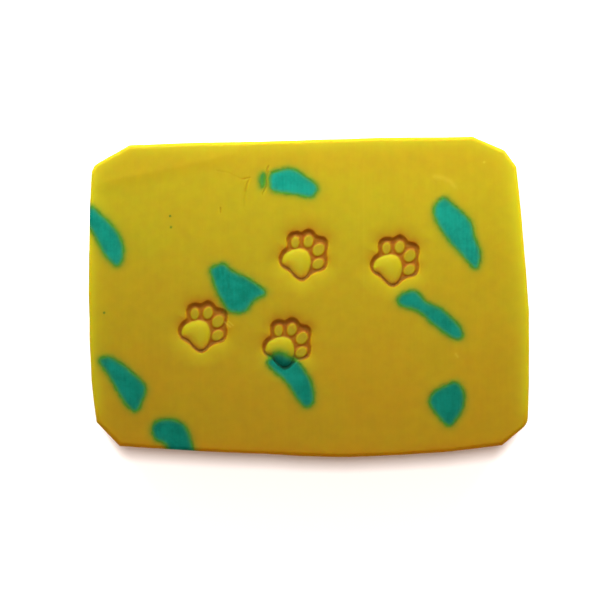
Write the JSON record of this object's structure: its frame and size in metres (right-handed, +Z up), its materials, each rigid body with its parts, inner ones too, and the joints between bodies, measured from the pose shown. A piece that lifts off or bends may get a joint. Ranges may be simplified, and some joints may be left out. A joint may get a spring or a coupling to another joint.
{
  "type": "stamped soap bar",
  "caption": "Hand-cut rectangular bar of soap with cut-off corners, coloured chips cast in flush with its faces and paw prints stamped in its top face.",
  "frame": {"origin": "middle of the flat underside, on the surface that the bar lies on", "axes": "+X along the bar's length, +Y across its width, +Z up through its thickness, out of the stamped face"},
  "size_m": [0.0899, 0.0654, 0.025],
  "materials": {
    "yellow_soap": "satin",
    "teal_soap": "satin"
  },
  "bodies": {
    "root": {"bar_body": "yellow_soap", "chip_front_left_edge": "teal_soap", "chip_front_top": "teal_soap", "chip_front_sliver": "teal_soap", "chip_front_centre": "teal_soap", "chip_front_upper_right": "teal_soap", "chip_front_right": "teal_soap", "chip_front_lower_right": "teal_soap", "chip_front_under_paw": "teal_soap", "chip_front_lower_left": "teal_soap", "chip_front_lower_edge": "teal_soap", "chip_back_upper_left": "teal_soap", "chip_back_top": "teal_soap", "chip_back_centre": "teal_soap", "chip_back_upper_right": "teal_soap", "chip_back_right_edge": "teal_soap", "chip_back_right": "teal_soap", "chip_back_left": "teal_soap", "chip_back_lower_left": "teal_soap", "chip_back_lower": "teal_soap", "chip_back_lower_right": "teal_soap", "chip_upper_side_left": "teal_soap", "chip_upper_side_middle": "teal_soap", "chip_upper_side_right": "teal_soap", "chip_lower_side_middle": "teal_soap", "chip_lower_side_right": "teal_soap", "chip_right_side_upper": "teal_soap", "chip_right_side_lower": "teal_soap", "chip_left_side": "teal_soap"}
  },
  "joints": []
}
